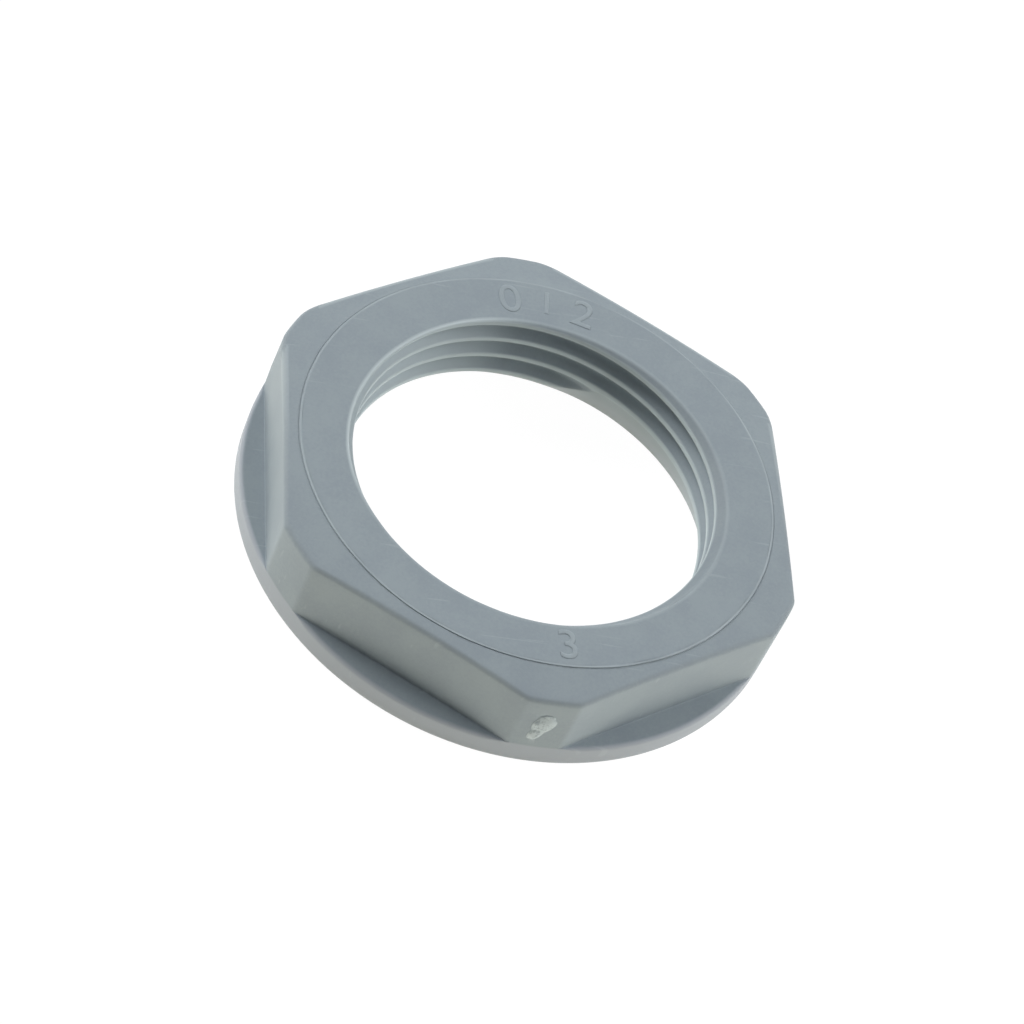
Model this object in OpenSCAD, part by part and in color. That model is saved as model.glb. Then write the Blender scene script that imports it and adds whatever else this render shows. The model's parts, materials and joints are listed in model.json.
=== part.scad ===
// Collar locknut for a cable gland: a moulded ring with a threaded bore, six
// wrench flats above a round collar, and corners turned to the collar's diameter.
// The nut lies on its collar, with the thread's axis on Z.

/* [Body] */
// Height of the nut over all, in mm
nut_h = 6; // [5:0.1:10]
// Width across the wrench flats
flats_w = 30; // [29:0.1:32]

/* [Collar] */
// Diameter of the collar, to which the six corners are cut as well
collar_d = 33; // [32.5:0.1:34]
// Thickness of the collar below the flats
collar_h = 1.5; // [1:0.1:3]
// Radius of the collar's upper edge
rim_edge_r = 0.25; // [0.1:0.05:0.4]
// Radius of the collar's lower edge
base_edge_r = 0.2; // [0.1:0.05:0.4]
// Radius of the fillet at the foot of each flat
foot_r = 0.3; // [0.1:0.05:0.4]

/* [Top face] */
// Diameter of the flat ring around the bore
ring_d = 28.3; // [26:0.1:28.8]
// Height of the step at the edge of that ring
ring_step = 0.07; // [0.05:0.01:0.2]
// Slope of the top outside the ring, in degrees below level
top_slope = 8; // [3:0.5:15]
// Radius of the edge between that slope and the corners
corner_edge_r = 0.35; // [0.1:0.05:0.5]

/* [Bore] */
// Diameter at the crests of the thread, which is 22.5 mm nominal at 18 turns per inch
crest_d = 21.5; // [20:0.1:23]
// Chamfer at the mouth of the bore in the top face
mouth_w = 0.15; // [0.05:0.05:0.4]
// Diameter of the lead-in at the underside
lead_in_d = 24; // [23.5:0.1:26]
// Height of the lead-in above the underside
lead_in_h = 2.6; // [1:0.1:3.5]

/* [Thread] */
// Height that the thread climbs in one turn
thread_pitch = 1.411; // [1.3:0.001:1.5]
// Height of a crest between two turns of the groove
crest_w = 0.26; // [0.15:0.01:0.4]
// Height of the groove's flat bottom
root_w = 0.14; // [0.05:0.01:0.3]
// Angle between a flank and the plane of the turn, in degrees
flank_angle = 40; // [30:1:45]
// Height at which the groove starts, inside the lead-in
groove_start_z = 2.13; // [1.5:0.01:2.4]

/* [Hidden] */
$fn = 96;
collar_r = collar_d / 2;
ring_r = ring_d / 2;
crest_r = crest_d / 2;
flat_x = flats_w / 2;
// Half the side of the whole hexagon, which the collar's cylinder cuts short
flat_half = flat_x * tan(30);
// How far the cutter for the flats stands clear of the blank
clear = 1;
// Middle of the arc that rounds the corners into the slope of the top
corner_mid = [
    collar_r - corner_edge_r,
    slope_z(collar_r - corner_edge_r) - corner_edge_r / cos(top_slope)
];
// Where that arc leaves the slope
corner_top = corner_mid + corner_edge_r * [sin(top_slope), cos(top_slope)];
// Middles of the arcs on the collar's lower and upper edges
base_mid = [collar_r - base_edge_r, base_edge_r];
rim_mid = [collar_r - rim_edge_r, collar_h - rim_edge_r];
// Half the height of the groove at the crests and at its bottom, and its depth
groove_half = (thread_pitch - crest_w) / 2;
root_half = root_w / 2;
groove_depth = (groove_half - root_half) / tan(flank_angle);
// How far the groove's cutter reaches inside the crests, where its turns still stay apart
cut_over = crest_w / 4 / tan(flank_angle);
// Azimuth at which the groove starts, and the angle over which it reaches its depth
groove_start_az = 246;
run_in_angle = 21;
// Angle after which the groove's lower flank has left the top face, in steps of about 12 degrees
groove_angle = 360 * (nut_h + groove_half - groove_start_z) / thread_pitch;
groove_steps = ceil(groove_angle / 12);

// Height of the sloping top at radius r
function slope_z(r) = nut_h - ring_step - tan(top_slope) * (r - ring_r);

// Height of the groove's middle after it has turned through an angle
function groove_z(angle) = groove_start_z + thread_pitch * angle / 360;

// Radius of the groove's bottom there
function groove_r(angle) = crest_r + groove_depth * min(1, angle / run_in_angle);

// How far the upper flank is lifted there, so that the last crest fades out as it passes the top face
function mouth_lift(angle) =
    let (crest_low = groove_z(angle) + groove_half)
    groove_half * max(0, min(1, (crest_low + crest_w - nut_h) / crest_w));

// Corners of the groove's cutter there, as radius and height
function groove_corners(angle) =
    let (
        z = groove_z(angle),
        top_z = z + mouth_lift(angle),
        inner_r = crest_r - cut_over,
        inner_half = root_half + (groove_r(angle) - inner_r) * tan(flank_angle)
    )
    [
        [inner_r, z - inner_half],
        [groove_r(angle), z - root_half],
        [groove_r(angle), top_z + root_half],
        [inner_r, top_z + inner_half]
    ];

// Section of the blank, from the bore out to the collar's cylinder
module blank_section() {
    polygon([
        [lead_in_d / 2, 0],
        [base_mid.x, 0],
        base_mid,
        [collar_r, base_mid.y],
        [collar_r, corner_mid.y],
        corner_mid,
        corner_top,
        [ring_r, slope_z(ring_r)],
        [ring_r, nut_h],
        [crest_r + mouth_w, nut_h],
        [crest_r, nut_h - mouth_w],
        [crest_r, lead_in_h]
    ]);
    translate(base_mid) circle(base_edge_r);
    translate(corner_mid) circle(corner_edge_r);
}

// Section of all that lies above the collar and its rounded upper edge
module above_collar_section() {
    difference() {
        translate([0, rim_mid.y]) square([collar_r + clear, nut_h + clear]);
        square([rim_mid.x, collar_h]);
        translate(rim_mid) circle(rim_edge_r);
    }
}

// Fillet along the foot of the flat that faces +X
module foot_fillet() {
    rotate([90, 0, 0])
        linear_extrude(2 * flat_half, center = true)
            translate([flat_x, collar_h])
                difference() {
                    translate([-foot_r, -foot_r]) square(2 * foot_r);
                    translate([foot_r, foot_r]) circle(foot_r);
                }
}

// The six-sided prism that stays inside the flats, with its fillets
module flats_prism() {
    intersection_for (side = [0 : 2])
        rotate(60 * side) cube([flats_w, 4 * flat_half, 2 * nut_h + clear], center = true);
    for (side = [0 : 5])
        rotate(60 * side) foot_fillet();
}

// Cutter for the thread's groove, swept up the bore from the lead-in to the top face
module thread_groove() {
    corners = len(groove_corners(0));
    points = [
        for (step = [0 : groove_steps])
            let (angle = groove_angle * step / groove_steps)
            for (corner = groove_corners(angle))
                [
                    corner.x * cos(groove_start_az + angle),
                    corner.x * sin(groove_start_az + angle),
                    corner.y
                ]
    ];
    sides = [
        for (step = [0 : groove_steps - 1])
            for (corner = [0 : corners - 1])
                let (
                    here = corners * step,
                    next = (corner + 1) % corners
                )
                [here + corner, here + next, here + corners + next, here + corners + corner]
    ];
    first_end = [for (corner = [1 : corners]) corners - corner];
    last_end = [for (corner = [0 : corners - 1]) corners * groove_steps + corner];
    polyhedron(points, concat([first_end, last_end], sides));
}

module locknut() {
    color([0.60, 0.64, 0.66])
        difference() {
            rotate_extrude() blank_section();
            difference() {
                rotate_extrude() above_collar_section();
                flats_prism();
            }
            thread_groove();
        }
}

locknut();
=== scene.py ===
"""Grey moulded locknut of a cable gland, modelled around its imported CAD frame.

The nut is one turned section, spun into a ring, whose wrench flats are pressed in
and whose thread is cut by placing each point of the section for its own azimuth.
Plain raised numbers and the torn stub of the gate are then joined to it.
"""

import json
import math

import bpy
import numpy as np
from bpy.props import FloatProperty, FloatVectorProperty, PointerProperty
from mathutils import Matrix, Vector, noise


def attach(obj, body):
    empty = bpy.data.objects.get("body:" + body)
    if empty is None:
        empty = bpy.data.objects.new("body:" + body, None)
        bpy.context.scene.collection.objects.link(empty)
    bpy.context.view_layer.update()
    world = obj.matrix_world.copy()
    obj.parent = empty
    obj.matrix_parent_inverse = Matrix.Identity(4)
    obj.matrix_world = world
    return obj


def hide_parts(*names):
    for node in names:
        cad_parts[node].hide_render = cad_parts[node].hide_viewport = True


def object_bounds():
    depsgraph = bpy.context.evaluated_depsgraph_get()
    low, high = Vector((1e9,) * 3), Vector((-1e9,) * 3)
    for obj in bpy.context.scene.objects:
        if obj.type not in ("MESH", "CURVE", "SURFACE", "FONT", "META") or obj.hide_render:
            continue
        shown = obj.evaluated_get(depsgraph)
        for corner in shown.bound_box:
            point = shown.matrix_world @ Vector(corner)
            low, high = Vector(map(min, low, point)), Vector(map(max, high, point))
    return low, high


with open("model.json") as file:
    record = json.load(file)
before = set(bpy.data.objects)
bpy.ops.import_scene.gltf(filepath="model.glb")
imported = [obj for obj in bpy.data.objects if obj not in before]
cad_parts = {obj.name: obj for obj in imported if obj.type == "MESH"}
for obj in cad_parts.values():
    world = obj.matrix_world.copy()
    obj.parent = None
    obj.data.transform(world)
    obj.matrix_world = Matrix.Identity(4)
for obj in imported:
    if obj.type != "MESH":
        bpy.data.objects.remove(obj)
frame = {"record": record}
CAD_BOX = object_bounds()

bl_info = {
    "name": "Cable gland locknut",
    "version": (1, 0, 0),
    "blender": (4, 5, 0),
    "location": "3D View > Sidebar > Locknut",
    "description": "Models a moulded locknut with wrench flats, a collar and an internal thread",
    "category": "Add Mesh",
}

MM = 0.001
CAD_LOW, CAD_HIGH = CAD_BOX
COLLAR_R = (CAD_HIGH[0] - CAD_LOW[0]) / 2
NUT_H = CAD_HIGH[2] - CAD_LOW[2]
THREAD_DIMS = next(m for m in frame["record"]["mounts"] if m["name"] == "thread")["dims"]
CREST_R = THREAD_DIMS["r_mm"] * MM

TURN = 2 * math.pi
SIDES = 6
SIDE_ANGLE = TURN / SIDES
NUT_NAME = "moulded_nut"
# Attribute that holds each point's wear together with painted light: painted highlights on crests and
# edges, and painted light on the lead-in and one side of the bore
WEAR_AND_PAINTED_LIGHT = "wear"


class BodySizes(bpy.types.PropertyGroup):
    """Sizes of the nut's outside"""
    flats_w: FloatProperty(
        name="Across flats", description="Width across the wrench flats",
        default=30 * MM, unit="LENGTH")
    flat_blend: FloatProperty(
        name="Corner line", description="Angle over which a flat rolls into the turned corner, each way",
        default=math.radians(0.6), subtype="ANGLE")
    top_blend: FloatProperty(
        name="Corner line at top", description="The same angle along the top edge, on the rounder side",
        default=math.radians(2.6), subtype="ANGLE")
    round_side: FloatProperty(
        name="Rounder side", description="Azimuth of the side whose corners are rounder at the top edge",
        default=math.radians(90), subtype="ANGLE")
    top_edge_r: FloatProperty(
        name="Top edge", description="Radius between the sloping top and the walls",
        default=0.33 * MM, unit="LENGTH")
    top_slope: FloatProperty(
        name="Top slope", description="Fall of the top outside the ring",
        default=math.radians(8), subtype="ANGLE")
    ring_d: FloatProperty(
        name="Ring", description="Diameter of the flat ring around the bore",
        default=28.3 * MM, unit="LENGTH")
    ring_step: FloatProperty(
        name="Ring step", description="Height of the ring above the slope outside it",
        default=0.06 * MM, unit="LENGTH")
    ring_groove: FloatProperty(
        name="Ring groove", description="Depth of the fine groove at the foot of that step",
        default=0.02 * MM, unit="LENGTH")
    collar_h: FloatProperty(
        name="Collar", description="Thickness of the collar below the flats",
        default=1.5 * MM, unit="LENGTH")
    rim_edge_r: FloatProperty(
        name="Rim edge", description="Radius of the collar's upper edge",
        default=0.25 * MM, unit="LENGTH")
    base_edge_r: FloatProperty(
        name="Base edge", description="Radius of the collar's lower edge",
        default=0.2 * MM, unit="LENGTH")
    foot_r: FloatProperty(
        name="Foot fillet", description="Radius at the foot of each flat",
        default=0.06 * MM, unit="LENGTH")


class ThreadSizes(bpy.types.PropertyGroup):
    """Sizes of the bore and its thread"""
    pitch: FloatProperty(
        name="Pitch", description="Rise of the thread in one turn, 18 turns to the inch",
        default=25.4 * MM / 18, unit="LENGTH")
    root_r: FloatProperty(
        name="Root radius", description="Radius at the bottom of the grooves",
        default=11.35 * MM, unit="LENGTH")
    half_land: FloatProperty(
        name="Half crest", description="Half the height of a crest's land",
        default=0.13 * MM, unit="LENGTH")
    flank: FloatProperty(
        name="Flank", description="Angle between a flank and the plane of the turn",
        default=math.radians(40), subtype="ANGLE")
    ridge_z: FloatProperty(
        name="Ridge height", description="Height of the upper ridge's middle at azimuth 0",
        default=5.40 * MM, unit="LENGTH")
    crest_round: FloatProperty(
        name="Crest rounding", description="Width over which a crest's edge is rounded",
        default=0.03 * MM, unit="LENGTH")
    root_round: FloatProperty(
        name="Root rounding", description="Width over which a groove's bottom is rounded",
        default=0.36 * MM, unit="LENGTH")
    fade_from: FloatProperty(
        name="Ridge end from", description="Azimuth at which the upper ridge begins to fade out",
        default=math.radians(130), subtype="ANGLE")
    fade_to: FloatProperty(
        name="Ridge end to", description="Azimuth at which the upper ridge has gone",
        default=math.radians(200), subtype="ANGLE")
    lowest_groove: FloatProperty(
        name="Lowest groove", description="Turns from the upper ridge down to the lowest groove",
        default=2.5)
    start: FloatProperty(
        name="Thread start", description="Azimuth at which the lowest groove reaches its full depth",
        default=math.radians(78), subtype="ANGLE")
    run_in: FloatProperty(
        name="Run-in", description="Angle over which the lowest groove reaches that depth",
        default=math.radians(20), subtype="ANGLE")
    mouth_r: FloatProperty(
        name="Mouth edge", description="Radius of the bore's edge in the top face",
        default=0.08 * MM, unit="LENGTH")
    mouth_flare: FloatProperty(
        name="Mouth flare", description="How much wider that edge is where the upper ridge ends",
        default=0.03 * MM, unit="LENGTH")
    flare_from: FloatProperty(
        name="Flare from", description="Azimuth at which the mouth's edge has widened by half of that",
        default=math.radians(100), subtype="ANGLE")
    flare_to: FloatProperty(
        name="Flare to", description="Azimuth at which it is that narrow again",
        default=math.radians(200), subtype="ANGLE")
    flare_soft: FloatProperty(
        name="Flare softness", description="Angle over which it widens and narrows, each way",
        default=math.radians(15), subtype="ANGLE")
    lead_in_r: FloatProperty(
        name="Lead-in radius", description="Radius of the lead-in cone at the underside",
        default=12 * MM, unit="LENGTH")
    lead_in_h: FloatProperty(
        name="Lead-in height",
        description="Height of the lead-in cone where the thread starts, from which it climbs",
        default=1.35 * MM, unit="LENGTH")
    lead_edge_r: FloatProperty(
        name="Lead-in edge", description="Radius of the lead-in's edge at the underside",
        default=0.2 * MM, unit="LENGTH")


class MarkSizes(bpy.types.PropertyGroup):
    """Sizes of the raised numbers and of the gate's stub"""
    stroke_grow: FloatProperty(
        name="Stroke growth", description="How much wider a number's strokes are than the font's, each way",
        default=0.03 * MM, unit="LENGTH")
    number_depth: FloatProperty(
        name="Number depth", description="Height of a number from where it is sunk in the ring",
        default=0.3 * MM, unit="LENGTH")
    number_grain: FloatProperty(
        name="Number mesh", description="Size of the mesh that rounds the numbers' edges",
        default=0.035 * MM, unit="LENGTH")
    stub_round: FloatProperty(
        name="Stub lumps", description="Unevenness of the stub's lumps, as a share of their size",
        default=0.14)
    scar_depth: FloatProperty(
        name="Scar", description="Depth of the scar above the stub",
        default=0.09 * MM, unit="LENGTH")


class PlasticFinish(bpy.types.PropertyGroup):
    """Colours, wear, painted light and grain of the polyamide, where a wear of 1 is the worn grey"""
    # Painted highlight: the thread's crests are painted paler where light catches them
    crest_highlight: FloatProperty(
        name="Crest wear", description="Wear of the thread's crests",
        default=0.74, min=0, max=1)
    # Painted light: the lead-in cone is painted paler where light from the table below falls on it
    lead_in_painted_light: FloatProperty(
        name="Lead-in wear", description="Wear of the lead-in cone",
        default=0.34, min=0, max=1)
    # The mouth's edge is painted paler: a little wear all round, and a painted highlight where the edge is
    # wider
    mouth_wear_and_highlight: FloatProperty(
        name="Mouth wear", description="Wear of the mouth's edge",
        default=0.16, min=0, max=1)
    # Painted highlight on the wider part of the mouth's edge
    flare_highlight: FloatProperty(
        name="Flare wear", description="Wear of the mouth's edge where it is wider",
        default=0.80, min=0, max=1)
    # Painted light: one side of the bore's wall, between the two azimuths below, is painted paler where the
    # lamps light it
    wall_painted_light: FloatProperty(
        name="Wall wear", description="Wear of the bore's wall on the side where it is rubbed",
        default=0.38, min=0, max=1)
    wall_painted_light_from: FloatProperty(
        name="Wall worn from", description="Azimuth at which the rubbed side of the wall begins",
        default=math.radians(98), subtype="ANGLE")
    wall_painted_light_to: FloatProperty(
        name="Wall worn to", description="Azimuth at which the rubbed side of the wall ends",
        default=math.radians(203), subtype="ANGLE")
    wall_painted_light_soft: FloatProperty(
        name="Wall wear softness", description="Angle over which that side fades, each way",
        default=math.radians(8), subtype="ANGLE")
    # Painted highlight along the ring's rounded outer edge
    ring_highlight: FloatProperty(
        name="Ring wear", description="Wear of the ring's outer edge",
        default=0.24, min=0, max=1)
    # The walls' top edge on the rounder side is painted paler: partly wear, partly a painted highlight
    edge_wear_and_highlight: FloatProperty(
        name="Top edge wear", description="Wear of the walls' top edge on the rounder side",
        default=0.30, min=0, max=1)
    number_wear: FloatProperty(
        name="Number wear", description="Wear of the raised numbers",
        default=0.12, min=0, max=1)
    scratch_wear: FloatProperty(
        name="Scratch wear", description="Wear along the faint scratches",
        default=0.12, min=0, max=1)
    torn_dull: FloatProperty(
        name="Torn tone", description="How far torn plastic falls short of the worn grey",
        default=0.40, min=0, max=1)
    torn_pits: FloatProperty(
        name="Torn pits", description="How much further it does in its pits",
        default=0.45, min=0, max=1)
    grey: FloatVectorProperty(
        name="Grey", description="Colour of the plastic",
        default=(0.290, 0.338, 0.374), subtype="COLOR", min=0, max=1)
    grey_pale: FloatVectorProperty(
        name="Pale grey", description="Colour of the paler clouds",
        default=(0.318, 0.370, 0.400), subtype="COLOR", min=0, max=1)
    # This pale grey serves for real wear, scratches and torn plastic, and for the painted highlights and
    # painted light
    grey_worn_and_lit: FloatVectorProperty(
        name="Worn grey", description="Colour of sharp edges, crests and torn plastic",
        default=(0.59, 0.67, 0.69), subtype="COLOR", min=0, max=1)
    # Painted light: the collar's rim and the lead-in are painted paler and warmer where light from the
    # table below falls on them
    grey_floor_lit: FloatVectorProperty(
        name="Rim grey", description="Colour of the collar's rim and the lead-in, rubbed paler and warmer",
        default=(0.388, 0.425, 0.472), subtype="COLOR", min=0, max=1)
    roughness: FloatProperty(
        name="Roughness", description="Mean roughness of the moulded skin",
        default=0.5, min=0, max=1)
    grain_depth: FloatProperty(
        name="Grain", description="Depth of the fine grain of the mould",
        default=0.004 * MM, unit="LENGTH")


class Studio(bpy.types.PropertyGroup):
    """Camera, lamps and floor"""
    target: FloatVectorProperty(
        name="Target", description="Point at the middle of the view",
        default=(-0.84 * MM, -1.25 * MM, 2.98 * MM), subtype="TRANSLATION")
    distance: FloatProperty(
        name="Distance", description="Distance of the camera from its target",
        default=196.1 * MM, unit="LENGTH")
    azimuth: FloatProperty(
        name="Azimuth", description="Direction of the camera around the nut",
        default=math.radians(-112.594), subtype="ANGLE")
    elevation: FloatProperty(
        name="Elevation", description="Height of the camera above the nut's plane",
        default=math.radians(47.218), subtype="ANGLE")
    roll: FloatProperty(
        name="Roll", description="Turn of the camera about its own axis",
        default=math.radians(25.71), subtype="ANGLE")
    lens: FloatProperty(
        name="Lens", description="Focal length on a sensor 36 mm wide, in mm",
        default=120.24)
    sky: FloatProperty(
        name="Sky", description="Level of the even light from all round",
        default=0.02)
    white_floor: FloatVectorProperty(
        name="Floor", description="Colour of the floor",
        default=(0.8, 0.8, 0.8), subtype="COLOR", min=0, max=1)
    floor_glow: FloatVectorProperty(
        name="Floor glow", description="Warm light that the lit table throws up at the nut's walls",
        default=(0.885, 0.829, 0.669), subtype="COLOR", min=0, max=1)
    bore_glow: FloatProperty(
        name="Glow in the bore", description="Share of that light left on the shaded table inside the bore",
        default=0.5, min=0, max=1)


# Softboxes around the nut: name, azimuth, elevation (degrees), width (m), and the
# level that each gives a surface turned to it, as a share of the plain level
SOFTBOXES = (
    ("left_softbox", 137, 35, 0.30, 0.79),
    ("right_softbox", 8, 35, 0.25, 0.42),
    ("near_right_softbox", 335, 35, 0.30, 0.27),
    ("top_softbox", 180, 62, 0.30, 0.09),
)
# Distance of every softbox from the nut, and the width of the floor (m)
SOFTBOX_DISTANCE = 0.6
FLOOR_SIZE = 4
# Full white, as colour sockets take it
WHITE = (1, 1, 1, 1)
# What the camera sees of the floor: its level, where 1 is white, and its share over the
# floor as the lamps light it, which keeps the shadow
FLOOR_WHITE = 1.08
FLOOR_WHITE_SHARE = 0.9
# Width of the camera's sensor (mm), and the nearest and furthest that it sees (m)
SENSOR_WIDTH = 36
CAMERA_REACH = (0.01, 10)

# Plain raised numbers on the ring: the number, its azimuth (degrees), the radius at its
# middle, its height, how far it stands above the ring (all mm), and whether its top is outward
NUMBERS = (
    ("0", 95.2, 12.66, 2.05, 0.045, True),
    ("1", 84.8, 12.76, 1.75, 0.035, True),
    ("2", 74.6, 12.75, 2.05, 0.045, True),
    ("3", 273.8, 12.65, 1.90, 0.050, False),
)
# Height of a digit in Blender's own font, as a share of the font's size
DIGIT_SHARE = 0.69
# How often a number's mesh is smoothed
DIGIT_SMOOTHINGS = 9

# Lumps of the torn gate on the corner: name, azimuth (degrees), height of its middle, its
# width, its height, and how far it stands out of the wall (all mm)
GATE_LUMPS = (
    ("stub_head", 270.0, 3.60, 1.42, 1.80, 0.14),
    ("stub_tail", 269.2, 2.76, 0.90, 1.50, 0.12),
)
# The scar above them: name, azimuth (degrees), height of its middle, its width and height (mm)
SCAR = ("scar", 269.5, 4.05, 1.25, 1.15)
# How far the lumps and the scar lean over along the wall
STUB_TILT = math.radians(-20)
# Fineness of a lump's ball, and the size of its unevenness as a share of the ball
LUMP_FINENESS = 5
LUMP_NOISE_SIZE = 0.3

# Columns of points along one side: on the flat, on the line at its end, on the turned
# corner, and on the line before the next flat
COLUMN_COUNTS = (30, 11, 4, 11)
# Cosines of the angle from the rounder side between which the rounding comes in
ROUNDER_FADE = (-0.2, 0.4)
# Share of the wall's height below which its corners are equally sharp on all sides
SHARP_BELOW = 0.6
# The most that the foot's fillet and the rim's edge each take of the ledge between them
FOOT_SHARE = 0.45
RIM_SHARE = 0.5

# Rows of points on each straight stretch of the section, as shares of the way along it
RING_ROWS = (0.06, 0.2, 0.4, 0.6, 0.8, 0.95)
SLOPE_ROWS = (0.5, 0.9)
WALL_ROWS = (0.04, 0.2, 0.4, 0.6, 0.8, 0.97)
LEDGE_ROWS = (0.1, 0.5, 0.9)
RIM_ROWS = (0.05, 0.5, 0.95)
BASE_ROWS = (0.04, 0.35, 0.65, 0.96)
BORE_ROW_COUNT = 126
# Rows over the ring's outer edge: how far out and how far down, in heights of the ring's
# step, and the share of the ring's painted highlight
RING_EDGE_ROWS = ((-2.4, 0, 0), (-1.4, 0, 1), (-0.15, 0.1, 0.9), (0, 0.4, 0.6), (0.05, 0.9, 0.1))
# Rows through the groove at the ring's foot: how far out, in depths of the groove, and how
# far down, as a share of the way from the ring's face to its bottom
GROOVE_ROWS = ((0.3, 0.88), (1.0, 1), (2.2, 0.92), (3.4, 0.78))
# Rows at the start of the slope outside that groove, in depths of the groove
SLOPE_START_ROWS = (4.6, 6)
# Steps in which each rounded edge of the section is turned
TOP_EDGE_STEPS = 6
FOOT_STEPS = 5
RIM_STEPS = 5
BASE_EDGE_STEPS = 4
LEAD_EDGE_STEPS = 5
MOUTH_EDGE_STEPS = 4

# How far the ring's line and the mouth's edge stray from true circles
SMALL_FLAWS = 0.02 * MM
# Waves in a turn, and the seed, of the ring's painted highlight, its line, and the mouth's edge
RING_HIGHLIGHT_WAVES = (30, 5)
RING_LINE_WAVES = (60, 3)
MOUTH_WAVES = (45, 8)
# Depths between which the painted highlight of the crests fades, and the wear and painted
# highlight of the mouth's edge, the second in radii of that edge
CREST_HIGHLIGHT_FADE = (0.01 * MM, 0.09 * MM)
MOUTH_WEAR_AND_HIGHLIGHT_FADE = (0.3, 1.2)
# How far the lead-in has to lie outside the thread for its painted light to be full
LEAD_IN_LIGHT_FADE = 0.05 * MM

# Points closer than this are merged: in the nut, and in what is joined to it or cut from it
NUT_MERGE = 0.004 * MM
MARK_MERGE = 0.001 * MM
# Faces that meet at less than this angle are shaded as one surface
SMOOTH_ANGLE = math.radians(50)
# What stands less than this above the nut's skin counts as skin
RAISED_FROM = 0.003 * MM
# How far inside the ring's limits, and under the corner's skin, raised marks are looked for
RING_MARGIN = 0.2 * MM
CORNER_MARGIN = 0.5 * MM

# Patterns in the plastic: the size of a speckle (mm), its levels of detail and its seed
CLOUDS = (2.2, 4.0, 0.0)
SPECKS = (0.16, 2.0, 3.0)
GRAIN = (0.09, 3.0, 7.0)
PITS = (0.14, 2.0, 12.0)
SCRATCHES = (1.3, 1.0, 20.0)
# How much finer the scratches are along each axis than speckles of their size
SCRATCH_STRETCH = (0.35, 6, 1)
# Levels of those patterns between which a pit, a scratch or the pale grey comes in
PIT_LEVELS = (0.50, 0.62)
SCRATCH_LEVELS = (0.68, 0.74)
PALE_LEVELS = (0.35, 0.65)
# Share of the clouds in the pale grey, the rest being specks, and the middle of a pattern
CLOUD_SHARE = 0.6
PATTERN_MIDDLE = 0.5
# How much the specks and the clouds change the roughness
SPECK_ROUGHNESS = 0.12
CLOUD_ROUGHNESS = 0.08
# Levels of wear between which plastic comes to count as torn
TORN_LEVELS = (0.85, 0.95)
# How far inside the collar's radius the rim's painted light starts and is full, how far outside the
# lead-in's its painted light ends, and the heights between which each fades out (mm)
RIM_START = 0.3
RIM_FULL = 0.1
RIM_TOP = (1.4, 1.6)
LEAD_IN_END = 0.3
LEAD_IN_TOP = (0.8, 2.2)


def smoothstep(low, high, value):
    """0 below low, 1 above high, with a smooth rise between them."""
    share = np.clip((value - low) / (high - low), 0, 1)
    return share * share * (3 - 2 * share)


def smooth_min(a, b, width):
    """The lesser of a and b, rounded where they differ by less than width."""
    share = np.clip(1 - np.abs(a - b) / width, 0, 1)
    return np.minimum(a, b) - share * share * width / 4


def smooth_max(a, b, width):
    """The greater of a and b, rounded where they differ by less than width."""
    return -smooth_min(-a, -b, width)


def within(bearings, start, end, soft):
    """1 between two azimuths and 0 outside them, with a smooth rise and fall around each."""
    begun = smoothstep(start - soft, start + soft, bearings)
    ended = smoothstep(end - soft, end + soft, bearings)
    return begun * (1 - ended)


def quarter_round(depth, radius):
    """How far an edge of that radius has drawn back, at a depth below its face."""
    below = np.clip(radius - depth, 0, radius)
    return radius - np.sqrt(radius * radius - below * below)


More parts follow.
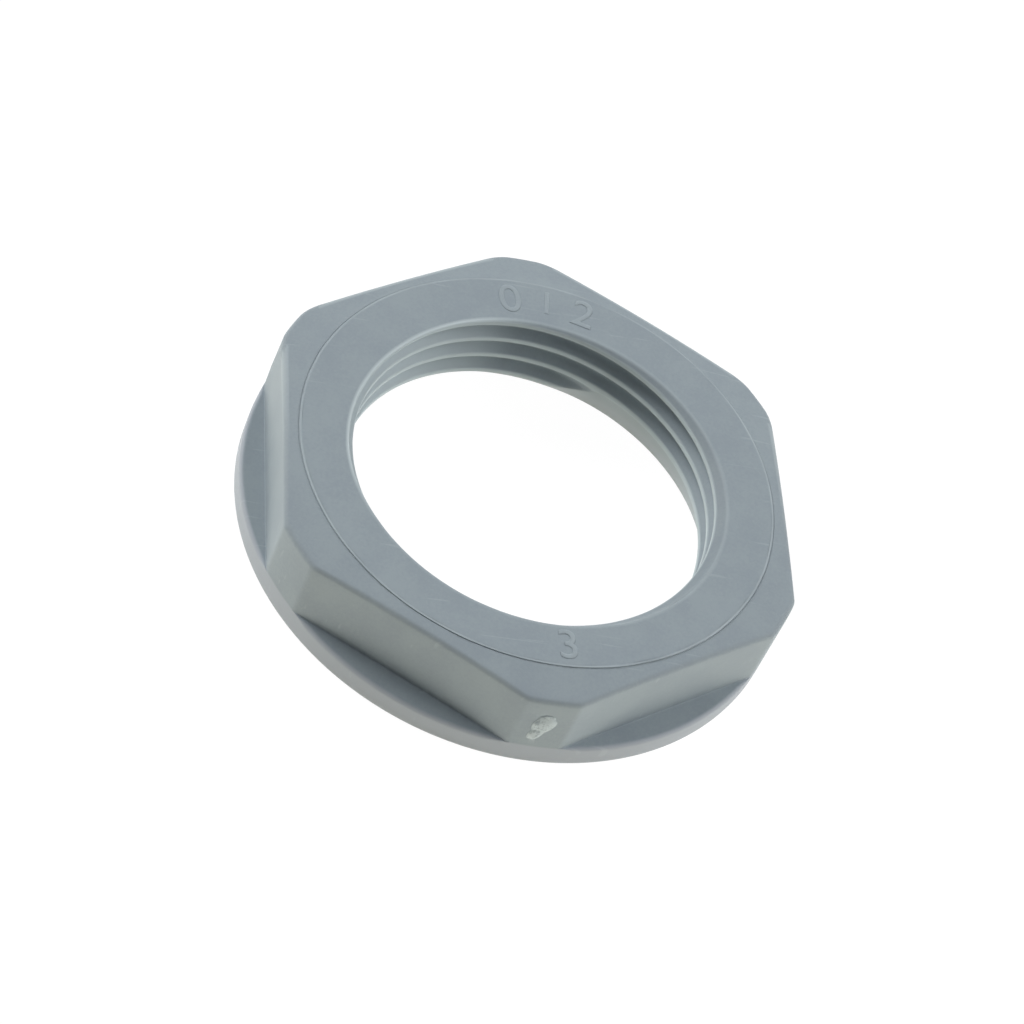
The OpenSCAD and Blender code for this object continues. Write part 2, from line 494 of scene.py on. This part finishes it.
class NutSection:
    """The nut's section as rows of points: each row has a radius and a height for every azimuth.

    Its flare is 1 where the mouth is wider, and its rounder is 1 where the corners are rounder.
    """

    def __init__(self, body, thread, finish):
        self.body = body
        self.thread = thread
        self.finish = finish
        self.azimuths = self.spread_azimuths()
        self.bearings = self.azimuths % TURN
        self.flare = within(self.bearings, thread.flare_from, thread.flare_to, thread.flare_soft)
        self.rounder = smoothstep(*ROUNDER_FADE, np.cos(self.azimuths - body.round_side))
        top_blend = body.flat_blend + self.rounder * (body.top_blend - body.flat_blend)
        self.wall_top_r = self.flat_distance(top_blend)
        self.wall_foot_r = self.flat_distance(body.flat_blend)
        ledge = COLLAR_R - self.wall_foot_r
        self.foot_r = np.minimum(body.foot_r, FOOT_SHARE * ledge)
        self.rim_r = np.minimum(body.rim_edge_r, RIM_SHARE * ledge)
        self.mouth_edge_r = self.mouth_edge()
        self.rows = []
        self.add_ring()
        self.add_slope()
        self.add_wall()
        self.add_collar()
        self.add_bore()

    def corner_angle(self):
        """Angle from a flat's middle to where it meets the collar's cylinder."""
        return math.acos(self.body.flats_w / 2 / COLLAR_R)

    def spread_azimuths(self):
        """Azimuths of the columns, closer together where a flat meets a corner."""
        corner = self.corner_angle()
        blend = self.body.top_blend
        stops = (
            -(corner - blend),
            corner - blend,
            corner + blend,
            SIDE_ANGLE - corner - blend,
            SIDE_ANGLE - corner + blend,
        )
        one_side = []
        for low, high, count in zip(stops, stops[1:], COLUMN_COUNTS):
            one_side.extend(np.linspace(low, high, count + 1)[:-1])
        return np.concatenate([np.array(one_side) + SIDE_ANGLE * side for side in range(SIDES)])

    def flat_distance(self, blend):
        """Radius of the wall above the collar: a flat, or the turned corner where that is nearer."""
        from_middle = (self.azimuths + SIDE_ANGLE / 2) % SIDE_ANGLE - SIDE_ANGLE / 2
        flat = self.body.flats_w / 2 / np.cos(from_middle)
        corner = self.corner_angle()
        width = self.body.flats_w / 2 * (1 / np.cos(corner + blend) - 1 / math.cos(corner))
        return smooth_min(flat, COLLAR_R, width)

    def add(self, radius, height, wear=0):
        """Add a row of points: its radius, height and wear, each one value or one per column."""
        ones = np.ones_like(self.azimuths)
        self.rows.append((radius * ones, height * ones, wear * ones))

    def add_between(self, start, end, shares):
        """Add rows at those shares of the way between two points, each a radius and a height."""
        for share in shares:
            radius, height = (low + share * (high - low) for low, high in zip(start, end))
            self.add(radius, height)

    def add_arc(self, middle_r, middle_z, radius, from_angle, to_angle, steps, wear=0):
        """Add rows along an arc of the section, from one angle to the other."""
        for angle in np.linspace(from_angle, to_angle, steps + 1):
            self.add(middle_r + radius * math.cos(angle), middle_z + radius * math.sin(angle), wear)

    def slope_z(self, radius):
        """Height of the sloping top at a radius."""
        fall = math.tan(self.body.top_slope) * (radius - self.body.ring_d / 2)
        return NUT_H - self.body.ring_step - fall

    def add_ring(self):
        """Rows from the bore's mouth over the ring and through the groove at its foot."""
        body = self.body
        ring_r = body.ring_d / 2
        self.add_between((self.bore_r(NUT_H), NUT_H), (ring_r, NUT_H), RING_ROWS)
        ring_line = ring_r + SMALL_FLAWS * self.ripple(*RING_LINE_WAVES)
        step = body.ring_step
        # Painted highlight along the ring's rounded edge, uneven around the nut
        painted_light = self.finish.ring_highlight * (1 + self.ripple(*RING_HIGHLIGHT_WAVES))
        for out, down, share in RING_EDGE_ROWS:
            self.add(ring_line + out * step, NUT_H - down * step, painted_light * share)
        groove_bottom = step + body.ring_groove
        for out, down in GROOVE_ROWS:
            self.add(ring_line + out * body.ring_groove, NUT_H - down * groove_bottom)
        for out in SLOPE_START_ROWS:
            radius = ring_r + out * body.ring_groove
            self.add(radius, self.slope_z(radius))

    def mouth_edge(self):
        """Radius of the bore's edge in the top face, ragged, and wider where it flares."""
        thread = self.thread
        ragged = SMALL_FLAWS * self.ripple(*MOUTH_WAVES)
        return thread.mouth_r + thread.mouth_flare * self.flare + ragged

    def ripple(self, per_turn, seed):
        """Smooth noise between -1 and 1 around the nut, with so many waves in a turn."""
        reach = per_turn / TURN
        return np.array([
            noise.noise(Vector((reach * math.cos(angle), reach * math.sin(angle), seed)))
            for angle in self.azimuths
        ])

    def top_edge_middle(self):
        """Middle of the rounded edge between the slope and the wall, as a radius and a height."""
        body = self.body
        middle_r = self.wall_top_r - body.top_edge_r
        return middle_r, self.slope_z(middle_r) - body.top_edge_r / math.cos(body.top_slope)

    def add_slope(self):
        """Rows down the slope outside the ring and around the rounded edge at its end."""
        body = self.body
        middle_r, middle_z = self.top_edge_middle()
        slope_start = body.ring_d / 2 + SLOPE_START_ROWS[-1] * body.ring_groove
        slope_end = middle_r + body.top_edge_r * math.sin(body.top_slope)
        for share in SLOPE_ROWS:
            radius = slope_start + share * (slope_end - slope_start)
            self.add(radius, self.slope_z(radius))
        from_angle = math.pi / 2 - body.top_slope
        # Partly wear, partly a painted highlight on the rounder side
        wear = self.finish.edge_wear_and_highlight * self.rounder
        self.add_arc(middle_r, middle_z, body.top_edge_r, from_angle, 0, TOP_EDGE_STEPS, wear)

    def add_wall(self):
        """Rows down the wall, on which the rounder corners turn sharp, and around its foot."""
        top_z = self.top_edge_middle()[1]
        foot_r = self.foot_r
        foot_z = self.body.collar_h + foot_r
        for share in WALL_ROWS:
            sharp = min(1, share / SHARP_BELOW)
            radius = self.wall_top_r + sharp * (self.wall_foot_r - self.wall_top_r)
            self.add(radius, top_z + share * (foot_z - top_z))
        self.add_arc(self.wall_foot_r + foot_r, foot_z, foot_r, math.pi, 1.5 * math.pi, FOOT_STEPS)

    def add_collar(self):
        """Rows over the collar's ledge, down its rim and under it to the bore."""
        ledge_z = self.body.collar_h
        ledge_in = self.wall_foot_r + self.foot_r
        ledge_out = COLLAR_R - self.rim_r
        self.add_between((ledge_in, ledge_z), (ledge_out, ledge_z), LEDGE_ROWS)
        rim_z = ledge_z - self.rim_r
        self.add_arc(ledge_out, rim_z, self.rim_r, math.pi / 2, 0, RIM_STEPS)
        base_r = self.body.base_edge_r
        self.add_between((COLLAR_R, rim_z), (COLLAR_R, base_r), RIM_ROWS)
        base_out = COLLAR_R - base_r
        self.add_arc(base_out, base_r, base_r, 0, -math.pi / 2, BASE_EDGE_STEPS)
        self.add_between((base_out, 0), (self.bore_r(0), 0), BASE_ROWS)

    def add_bore(self):
        """Rows up the bore, closer together at its two rounded edges."""
        thread = self.thread
        low_angles = np.linspace(0, math.pi / 2, LEAD_EDGE_STEPS + 1)[:-1]
        high_angles = np.linspace(math.pi / 2, 0, MOUTH_EDGE_STEPS + 1)[1:]
        low = thread.lead_edge_r * (1 - np.cos(low_angles))
        high = NUT_H - thread.mouth_r * (1 - np.cos(high_angles))
        between = np.linspace(thread.lead_edge_r, NUT_H - thread.mouth_r, BORE_ROW_COUNT)
        for height in np.concatenate([low, between, high]):
            self.add(self.bore_r(height), height, self.bore_wear_and_painted_light(height))

    def thread_r(self, height):
        """Radius of the threaded wall at a height, for every azimuth."""
        thread = self.thread
        turns = (height - thread.ridge_z) / thread.pitch - self.azimuths / TURN
        ridge = np.round(turns)
        beyond_land = np.abs(turns - ridge) * thread.pitch - thread.half_land
        rise = smooth_max(beyond_land, 0, thread.crest_round) / math.tan(thread.flank)
        radius = smooth_min(CREST_R + rise, thread.root_r, thread.root_round)
        ridge_angle = self.azimuths + TURN * ridge
        gone = smoothstep(thread.fade_from, thread.fade_to, ridge_angle)
        radius = radius + gone * (thread.root_r - radius)
        groove_angle = self.azimuths + TURN * (np.floor(turns) + 0.5)
        full_depth = thread.start - TURN * thread.lowest_groove
        cut = smoothstep(full_depth - thread.run_in, full_depth, groove_angle)
        return CREST_R + cut * (radius - CREST_R)

    def cone_r(self, height):
        """Radius of the lead-in cone, whose top climbs with the thread from where that starts."""
        thread = self.thread
        past_start = (self.azimuths - thread.start) % TURN
        climb = past_start / TURN - smoothstep(TURN - thread.run_in, TURN, past_start)
        cone_h = thread.lead_in_h + thread.pitch * climb
        return CREST_R + (1 - height / cone_h) * (thread.lead_in_r - CREST_R)

    def wall_r(self, height):
        """Radius of the bore at a height, without its rounded edges: thread or lead-in."""
        return smooth_max(self.thread_r(height), self.cone_r(height), self.thread.crest_round)

    def bore_r(self, height):
        """Radius of the bore at a height, with both rounded edges."""
        mouth = quarter_round(NUT_H - height, self.mouth_edge_r)
        lead = quarter_round(height, self.thread.lead_edge_r)
        return self.wall_r(height) + mouth + lead

    def bore_wear_and_painted_light(self, height):
        """Wear and painted light of the bore at a height: painted highlights on the crests and the mouth's
        edge, which is also a little worn, and painted light on the lead-in and on one side of the wall.
        """
        finish = self.finish
        # Painted highlight along the crests
        crest = 1 - smoothstep(*CREST_HIGHLIGHT_FADE, self.wall_r(height) - CREST_R)
        mouth = 1 - smoothstep(*MOUTH_WEAR_AND_HIGHLIGHT_FADE, (NUT_H - height) / self.mouth_edge_r)
        # Painted light: one side of the wall painted paler
        side = within(self.bearings, finish.wall_painted_light_from, finish.wall_painted_light_to, finish.wall_painted_light_soft)
        # The mouth's edge: a little wear, and a painted highlight where it is wider
        mouth_wear_and_highlight = finish.mouth_wear_and_highlight + self.flare * (finish.flare_highlight - finish.mouth_wear_and_highlight)
        # Painted light on the lead-in
        lead_in = smoothstep(0, LEAD_IN_LIGHT_FADE, self.cone_r(height) - self.thread_r(height))
        wall_painted_light = np.maximum(finish.crest_highlight * crest, finish.wall_painted_light * side)
        return np.maximum.reduce([wall_painted_light, mouth_wear_and_highlight * mouth, finish.lead_in_painted_light * lead_in])

    def points(self, column, row):
        """Places and wear of mesh points, given the column and the row of each."""
        radius, height, wear = np.array(self.rows).transpose(1, 0, 2)[:, row, column]
        angle = self.azimuths[column]
        return np.column_stack([radius * np.cos(angle), radius * np.sin(angle), height]), wear


def deselect():
    """Leave nothing selected, so that the next operator acts on its own object alone."""
    bpy.ops.object.select_all(action="DESELECT")


def edit_all(obj):
    """Open an object in edit mode with all of its mesh selected."""
    deselect()
    bpy.context.view_layer.objects.active = obj
    obj.select_set(True)
    bpy.ops.object.mode_set(mode="EDIT")
    bpy.ops.mesh.select_all(action="SELECT")


def close_mesh(obj, merge):
    """Merge an object's points that are closer than that, and turn its faces outwards."""
    edit_all(obj)
    bpy.ops.mesh.remove_doubles(threshold=merge)
    bpy.ops.mesh.normals_make_consistent(inside=False)
    bpy.ops.object.mode_set(mode="OBJECT")


def set_wear_and_painted_light(mesh, wear):
    """Store how worn a mesh is at each point, painted light included, for its material to read."""
    if WEAR_AND_PAINTED_LIGHT not in mesh.attributes:
        mesh.attributes.new(WEAR_AND_PAINTED_LIGHT, "FLOAT", "POINT")
    mesh.attributes[WEAR_AND_PAINTED_LIGHT].data.foreach_set("value", wear)


def places_of(mesh):
    """Every point of a mesh, as three rows: x, y and z."""
    places = np.empty(3 * len(mesh.vertices))
    mesh.vertices.foreach_get("co", places)
    return places.reshape(-1, 3).T


def wear_raised(mesh, stand, around, wear):
    """Give that wear to what stands above the skin, and none to the skin around it.

    A boolean brings its new points without their wear, so it is stored here after it.
    """
    values = np.empty(len(mesh.vertices))
    mesh.attributes[WEAR_AND_PAINTED_LIGHT].data.foreach_get("value", values)
    values[around] = np.where(stand[around] > RAISED_FROM, wear, 0)
    set_wear_and_painted_light(mesh, values)


class LOCKNUT_OT_body(bpy.types.Operator):
    """Spin the nut's section into a ring, press its flats in and cut its thread"""
    bl_idname = "locknut.body"
    bl_label = "Moulded body"

    def execute(self, context):
        scene = context.scene
        section = NutSection(scene.locknut_body, scene.locknut_thread, scene.locknut_finish)
        row_count = len(section.rows)
        column_count = len(section.azimuths)
        middle_r = (COLLAR_R + CREST_R) / 2
        loop_r = (COLLAR_R - CREST_R) / 2

        deselect()
        bpy.ops.mesh.primitive_circle_add(
            vertices=row_count, radius=loop_r, fill_type="NOTHING",
            location=(middle_r, 0, 0), rotation=(math.pi / 2, 0, 0))
        nut = context.object
        nut.name = NUT_NAME
        bpy.ops.object.transform_apply(location=True, rotation=True, scale=True)
        edit_all(nut)
        bpy.ops.mesh.spin(
            steps=column_count, angle=TURN, center=(0, 0, 0), axis=(0, 0, 1),
            use_auto_merge=True)
        bpy.ops.object.mode_set(mode="OBJECT")
        self.shape(nut.data, section, middle_r)
        close_mesh(nut, NUT_MERGE)
        bpy.ops.object.shade_smooth_by_angle(angle=SMOOTH_ANGLE)
        return {"FINISHED"}

    def shape(self, mesh, section, middle_r):
        """Move every point of the plain spun ring to its place on the nut."""
        x, y, z = places_of(mesh)
        column_count = len(section.azimuths)
        row_count = len(section.rows)
        turn = np.arctan2(y, x) / TURN
        around = np.arctan2(z, np.hypot(x, y) - middle_r) / TURN
        column = np.round(turn * column_count).astype(int) % column_count
        row = np.round((around[0] - around) * row_count).astype(int) % row_count
        if len(set(zip(column.tolist(), row.tolist()))) != column_count * row_count:
            raise RuntimeError("the spun ring does not have one point for each row and column")
        places, wear = section.points(column, row)
        mesh.vertices.foreach_set("co", places.ravel())
        set_wear_and_painted_light(mesh, wear)
        mesh.update()


def join(pieces):
    """Make one object of several, and return it."""
    deselect()
    for piece in pieces:
        piece.select_set(True)
    bpy.context.view_layer.objects.active = pieces[0]
    bpy.ops.object.join()
    return bpy.context.object


def combine(body, tool, operation):
    """Join a closed mesh to the body, or cut it out of the body, and delete it."""
    deselect()
    bpy.context.view_layer.objects.active = body
    body.select_set(True)
    boolean = body.modifiers.new("combine", "BOOLEAN")
    boolean.operation = operation
    boolean.object = tool
    bpy.ops.object.modifier_apply(modifier=boolean.name)
    deselect()
    tool.select_set(True)
    bpy.ops.object.delete()


class LOCKNUT_OT_numbers(bpy.types.Operator):
    """Raise plain numbers on the ring around the bore"""
    bl_idname = "locknut.numbers"
    bl_label = "Raised numbers"

    def execute(self, context):
        scene = context.scene
        nut = bpy.data.objects[NUT_NAME]
        digits = [self.raise_digit(scene.locknut_marks, *number) for number in NUMBERS]
        combine(nut, join(digits), "UNION")
        x, y, z = places_of(nut.data)
        radius = np.hypot(x, y)
        ring_in = scene.locknut_thread.root_r + RING_MARGIN
        ring_out = scene.locknut_body.ring_d / 2 - RING_MARGIN
        around = (radius > ring_in) & (radius < ring_out) & (z > NUT_H - RING_MARGIN)
        wear_raised(nut.data, z - NUT_H, around, scene.locknut_finish.number_wear)
        return {"FINISHED"}

    def raise_digit(self, marks, text, azimuth, middle_r, height, stand, top_outward):
        """One digit, sunk into the ring so that its rounded strokes stand out of it."""
        azimuth = math.radians(azimuth)
        deselect()
        bpy.ops.object.text_add(
            location=(
                middle_r * MM * math.cos(azimuth),
                middle_r * MM * math.sin(azimuth),
                NUT_H + stand * MM - marks.number_depth / 2,
            ),
            rotation=(0, 0, azimuth + (-0.5 if top_outward else 0.5) * math.pi))
        digit = bpy.context.object
        digit.name = "number_" + text
        digit.data.body = text
        digit.data.align_x = "CENTER"
        digit.data.size = height * MM / DIGIT_SHARE
        digit.data.offset_y = -height * MM / 2
        digit.data.extrude = marks.number_depth / 2
        digit.data.offset = marks.stroke_grow
        bpy.ops.object.convert(target="MESH")
        bpy.ops.object.transform_apply(location=True, rotation=True, scale=True)
        close_mesh(digit, MARK_MERGE)
        remesh = digit.modifiers.new("even_mesh", "REMESH")
        remesh.mode = "VOXEL"
        remesh.voxel_size = marks.number_grain
        bpy.ops.object.modifier_apply(modifier=remesh.name)
        soften = digit.modifiers.new("soften", "SMOOTH")
        soften.iterations = DIGIT_SMOOTHINGS
        bpy.ops.object.modifier_apply(modifier=soften.name)
        return digit


class LOCKNUT_OT_gate(bpy.types.Operator):
    """Leave the torn stub of the gate on the near corner, below a shallow scar"""
    bl_idname = "locknut.gate"
    bl_label = "Gate stub"

    def execute(self, context):
        marks = context.scene.locknut_marks
        nut = bpy.data.objects[NUT_NAME]
        combine(nut, self.lump(marks, *SCAR, -marks.scar_depth / MM), "DIFFERENCE")
        for gate_lump in GATE_LUMPS:
            combine(nut, self.lump(marks, *gate_lump), "UNION")
        x, y, z = places_of(nut.data)
        stand = np.hypot(x, y) - COLLAR_R
        around = (stand > -CORNER_MARGIN) & (z > context.scene.locknut_body.collar_h)
        wear_raised(nut.data, stand, around, 1)
        deselect()
        nut.select_set(True)
        context.view_layer.objects.active = nut
        bpy.ops.object.shade_smooth_by_angle(angle=SMOOTH_ANGLE)
        return {"FINISHED"}

    def lump(self, marks, name, azimuth, height, width, tall, stand):
        """A ball with an uneven skin, flattened against the corner. A negative stand sinks in."""
        azimuth = math.radians(azimuth)
        deselect()
        bpy.ops.mesh.primitive_ico_sphere_add(subdivisions=LUMP_FINENESS, radius=0.5)
        ball = bpy.context.object
        ball.name = name
        clouds = bpy.data.textures.new(name + "_skin", "CLOUDS")
        clouds.noise_scale = LUMP_NOISE_SIZE
        uneven = ball.modifiers.new("uneven", "DISPLACE")
        uneven.texture = clouds
        uneven.texture_coords = "LOCAL"
        uneven.strength = marks.stub_round
        bpy.ops.object.modifier_apply(modifier=uneven.name)
        # Four stands thick and sunk by one, so that one stand shows
        ball.scale = (4 * abs(stand) * MM, width * MM, tall * MM)
        ball.rotation_euler = (STUB_TILT, 0, azimuth)
        out = COLLAR_R - stand * MM
        ball.location = (out * math.cos(azimuth), out * math.sin(azimuth), height * MM)
        bpy.ops.object.transform_apply(location=True, rotation=True, scale=True)
        close_mesh(ball, MARK_MERGE)
        return ball


class Wire:
    """A node's output, on which arithmetic adds Math nodes."""

    def __init__(self, tree, socket):
        self.tree = tree
        self.socket = socket

    def node(self, kind, settings=None, inputs=None, output=0):
        """Add any node: its settings first, then values or wires for its inputs."""
        made = self.tree.nodes.new(kind)
        for name, value in (settings or {}).items():
            setattr(made, name, value)
        for key, value in (inputs or {}).items():
            if isinstance(value, Wire):
                self.tree.links.new(value.socket, made.inputs[key])
            else:
                made.inputs[key].default_value = value
        return Wire(self.tree, made.outputs[output])

    def math(self, operation, *values):
        """Add a Math node on this wire and further values."""
        inputs = dict(enumerate((self, *values)))
        return self.node("ShaderNodeMath", {"operation": operation}, inputs)

    def __add__(self, other):
        return self.math("ADD", other)

    def __sub__(self, other):
        return self.math("SUBTRACT", other)

    def __rsub__(self, other):
        return (self * -1).math("ADD", other)

    def __mul__(self, other):
        return self.math("MULTIPLY", other)

    __radd__ = __add__
    __rmul__ = __mul__

    def vector(self, operation, inputs, output=0):
        """Add a Vector Math node on this wire and further inputs."""
        return self.node("ShaderNodeVectorMath", {"operation": operation}, {0: self, **inputs}, output)

    def ramp(self, low, high):
        """0 below low, 1 above high, with a smooth rise between them."""
        settings = {"interpolation_type": "SMOOTHSTEP"}
        inputs = {"Value": self, "From Min": low, "From Max": high}
        return self.node("ShaderNodeMapRange", settings, inputs)

    def blend(self, first, second):
        """Mix two colours, with this wire as the share of the second."""
        settings = {"data_type": "RGBA"}
        return self.node("ShaderNodeMix", settings, {0: self, 6: first, 7: second}, 2)

    def speckle(self, size, detail, seed):
        """Noise of that speckle size, in mm, where this wire is a place in mm."""
        settings = {"noise_dimensions": "4D"}
        inputs = {"Vector": self, "W": seed, "Scale": 1 / size, "Detail": detail}
        return self.node("ShaderNodeTexNoise", settings, inputs)


def new_material(name):
    """An empty node material, with a wire to build it from and its output node."""
    material = bpy.data.materials.new(name)
    material.use_nodes = True
    tree = material.node_tree
    tree.nodes.clear()
    output = tree.nodes.new("ShaderNodeOutputMaterial")
    return material, Wire(tree, None), output


def opaque(colour):
    """A colour with full opacity, as colour sockets take it."""
    return (*colour, 1.0)


def floor_lit_edges(place, lead_in_r):
    """Mask of painted light: 1 on the collar's rim and in the lead-in, fading to 0 around them."""
    level = place.node("ShaderNodeSeparateXYZ", None, {0: place}, "Z")
    reach = place.vector("MULTIPLY", {1: (1, 1, 0)}).vector("LENGTH", {}, "Value")
    rim_r = COLLAR_R / MM
    rim = reach.ramp(rim_r - RIM_START, rim_r - RIM_FULL) * (1 - level.ramp(*RIM_TOP))
    lead_in_r = lead_in_r / MM
    lead_in = (1 - reach.ramp(lead_in_r, lead_in_r + LEAD_IN_END)) * (1 - level.ramp(*LEAD_IN_TOP))
    return rim + lead_in


def polyamide(finish, lead_in_r):
    """Matt grey moulded plastic, finely clouded and grained, with painted light and painted highlights
    where its rim, lead-in, edges and crests are paler.
    """
    material, make, output = new_material("grey_polyamide")
    place = make.node("ShaderNodeTexCoord", output="Object")
    place = place.vector("SCALE", {"Scale": 1 / MM})
    clouds = place.speckle(*CLOUDS)
    specks = place.speckle(*SPECKS)
    grain = place.speckle(*GRAIN)
    pits = place.speckle(*PITS).ramp(*PIT_LEVELS)
    along = place.vector("MULTIPLY", {1: SCRATCH_STRETCH})
    scratches = along.speckle(*SCRATCHES).ramp(*SCRATCH_LEVELS)
    # The wear attribute holds real wear, painted highlights and painted light
    wear = make.node("ShaderNodeAttribute", {"attribute_name": WEAR_AND_PAINTED_LIGHT}, output="Fac")
    # Painted light on the collar's rim and the lead-in
    painted_light = floor_lit_edges(place, lead_in_r)
    shade = (clouds * CLOUD_SHARE + specks * (1 - CLOUD_SHARE)).ramp(*PALE_LEVELS)
    colour = shade.blend(opaque(finish.grey), opaque(finish.grey_pale))
    colour = painted_light.blend(colour, opaque(finish.grey_floor_lit))
    torn = wear.ramp(*TORN_LEVELS)
    wear = wear.math("MAXIMUM", scratches * finish.scratch_wear)
    wear = wear * (1 - torn * (finish.torn_dull + finish.torn_pits * pits))
    colour = wear.blend(colour, opaque(finish.grey_worn_and_lit))
    roughness = finish.roughness + (specks - PATTERN_MIDDLE) * SPECK_ROUGHNESS
    roughness = roughness + (clouds - PATTERN_MIDDLE) * CLOUD_ROUGHNESS
    normal = make.node("ShaderNodeBump", None, {
        "Strength": 1.0, "Distance": finish.grain_depth, "Height": grain})
    skin = make.node("ShaderNodeBsdfPrincipled", None, {
        "Base Color": colour,
        "Roughness": roughness,
        "Normal": normal,
        "IOR": 1.5,
        "Specular IOR Level": 0.15,
        "Subsurface Weight": 0.05,
        "Subsurface Radius": (1.0, 0.9, 0.8),
        "Subsurface Scale": 0.4 * MM,
    })
    make.tree.links.new(skin.socket, output.inputs["Surface"])
    return material


class LOCKNUT_OT_finish(bpy.types.Operator):
    """Give the nut its grey moulded skin and hand it to the frame"""
    bl_idname = "locknut.finish"
    bl_label = "Finish"

    def execute(self, context):
        nut = bpy.data.objects[NUT_NAME]
        nut.data.materials.clear()
        scene = context.scene
        nut.data.materials.append(polyamide(scene.locknut_finish, scene.locknut_thread.lead_in_r))
        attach(nut, "root")
        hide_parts("locknut")
        return {"FINISHED"}


def seen_or_lit(make, seen, lit):
    """A shader that the camera and reflections see as one, and that lights as the other."""
    rays = make.node("ShaderNodeLightPath", output="Is Camera Ray")
    light_path = rays.socket.node
    for name in ("Is Glossy Ray", "Is Transmission Ray"):
        rays = rays.math("MAXIMUM", Wire(make.tree, light_path.outputs[name]))
    return make.node("ShaderNodeMixShader", None, {0: rays, 1: lit, 2: seen})


class LOCKNUT_OT_studio(bpy.types.Operator):
    """Set up the white floor, the soft lamps and the camera"""
    bl_idname = "locknut.studio"
    bl_label = "Studio"

    def execute(self, context):
        scene = context.scene
        studio = scene.locknut_studio
        scene.view_settings.view_transform = "Standard"
        self.add_world(scene, studio)
        self.add_floor(studio)
        for name, azimuth, elevation, width, level in SOFTBOXES:
            self.add_softbox(name, azimuth, elevation, width, level)
        self.add_camera(scene, studio)
        return {"FINISHED"}

    def add_world(self, scene, studio):
        """An even sky, which shows as white."""
        scene.world = bpy.data.worlds.new("white_surround")
        scene.world.use_nodes = True
        tree = scene.world.node_tree
        tree.nodes.clear()
        make = Wire(tree, None)
        output = tree.nodes.new("ShaderNodeOutputWorld")
        seen = make.node("ShaderNodeBackground", None, {"Color": WHITE, "Strength": 1.0})
        lit = make.node("ShaderNodeBackground", None, {"Color": WHITE, "Strength": studio.sky})
        tree.links.new(seen_or_lit(make, seen, lit).socket, output.inputs["Surface"])

    def add_floor(self, studio):
        """A wide white floor under the nut, which keeps a faint shadow."""
        deselect()
        bpy.ops.mesh.primitive_plane_add(size=FLOOR_SIZE, location=(0, 0, 0))
        floor = bpy.context.object
        floor.name = "floor"
        material, make, output = new_material("white_floor")
        table = make.node("ShaderNodeBsdfDiffuse", None, {"Color": opaque(studio.white_floor)})
        white = make.node("ShaderNodeEmission", None, {"Color": WHITE, "Strength": FLOOR_WHITE})
        spot = make.node("ShaderNodeTexCoord", output="Object")
        # The floor glows as a lamp; inside the bore its glow is turned down as a painted shadow of the nut
        outside = spot.vector("LENGTH", {}, "Value").ramp(CREST_R, COLLAR_R)
        glow = make.node("ShaderNodeEmission", None, {
            "Color": opaque(studio.floor_glow),
            "Strength": studio.bore_glow + (1 - studio.bore_glow) * outside,
        })
        seen = make.node("ShaderNodeMixShader", None, {0: FLOOR_WHITE_SHARE, 1: table, 2: white})
        lit = make.node("ShaderNodeAddShader", None, {0: table, 1: glow})
        make.tree.links.new(seen_or_lit(make, seen, lit).socket, output.inputs["Surface"])
        floor.data.materials.append(material)

    def add_softbox(self, name, azimuth, elevation, width, level):
        """A square soft lamp that faces the nut."""
        across = math.cos(math.radians(elevation))
        towards = Vector((
            across * math.cos(math.radians(azimuth)),
            across * math.sin(math.radians(azimuth)),
            math.sin(math.radians(elevation)),
        ))
        deselect()
        bpy.ops.object.light_add(type="AREA", location=SOFTBOX_DISTANCE * towards)
        lamp = bpy.context.object
        lamp.name = name
        lamp.data.shape = "SQUARE"
        lamp.data.size = width
        # At this power a surface turned to the lamp shows its colour times the level
        lamp.data.energy = level * math.pi ** 2 * SOFTBOX_DISTANCE ** 2
        lamp.rotation_euler = towards.to_track_quat("Z", "Y").to_euler()

    def add_camera(self, scene, studio):
        """The camera at the photograph's place, turned about its own axis as it was."""
        target = Vector(studio.target)
        back = Vector((
            math.cos(studio.elevation) * math.cos(studio.azimuth),
            math.cos(studio.elevation) * math.sin(studio.azimuth),
            math.sin(studio.elevation),
        ))
        level_right = Vector((0, 0, 1)).cross(back).normalized()
        level_up = back.cross(level_right)
        right = math.cos(studio.roll) * level_right + math.sin(studio.roll) * level_up
        up = back.cross(right)
        deselect()
        bpy.ops.object.camera_add(location=target + studio.distance * back)
        camera = bpy.context.object
        camera.rotation_euler = Matrix((right, up, back)).transposed().to_euler()
        camera.data.lens = studio.lens
        camera.data.sensor_width = SENSOR_WIDTH
        camera.data.clip_start, camera.data.clip_end = CAMERA_REACH
        scene.camera = camera


class LOCKNUT_PT_panel(bpy.types.Panel):
    """The steps that build the locknut"""
    bl_label = "Locknut"
    bl_space_type = "VIEW_3D"
    bl_region_type = "UI"
    bl_category = "Locknut"

    def draw(self, context):
        layout = self.layout
        for operator in OPERATORS:
            layout.operator(operator.bl_idname)
        for name in SETTINGS:
            group = getattr(context.scene, name)
            box = layout.box()
            for setting in group.__annotations__:
                box.prop(group, setting)


SETTINGS = {
    "locknut_body": BodySizes,
    "locknut_thread": ThreadSizes,
    "locknut_marks": MarkSizes,
    "locknut_finish": PlasticFinish,
    "locknut_studio": Studio,
}
OPERATORS = (
    LOCKNUT_OT_body,
    LOCKNUT_OT_numbers,
    LOCKNUT_OT_gate,
    LOCKNUT_OT_finish,
    LOCKNUT_OT_studio,
)
CLASSES = (*SETTINGS.values(), *OPERATORS, LOCKNUT_PT_panel)


def register():
    for cls in CLASSES:
        bpy.utils.register_class(cls)
    for name, group in SETTINGS.items():
        setattr(bpy.types.Scene, name, PointerProperty(type=group))


def unregister():
    for name in SETTINGS:
        delattr(bpy.types.Scene, name)
    for cls in reversed(CLASSES):
        bpy.utils.unregister_class(cls)


def main():
    register()
    bpy.ops.locknut.body()
    bpy.ops.locknut.numbers()
    bpy.ops.locknut.gate()
    bpy.ops.locknut.finish()
    bpy.ops.locknut.studio()


if __name__ == "__main__":
    main()
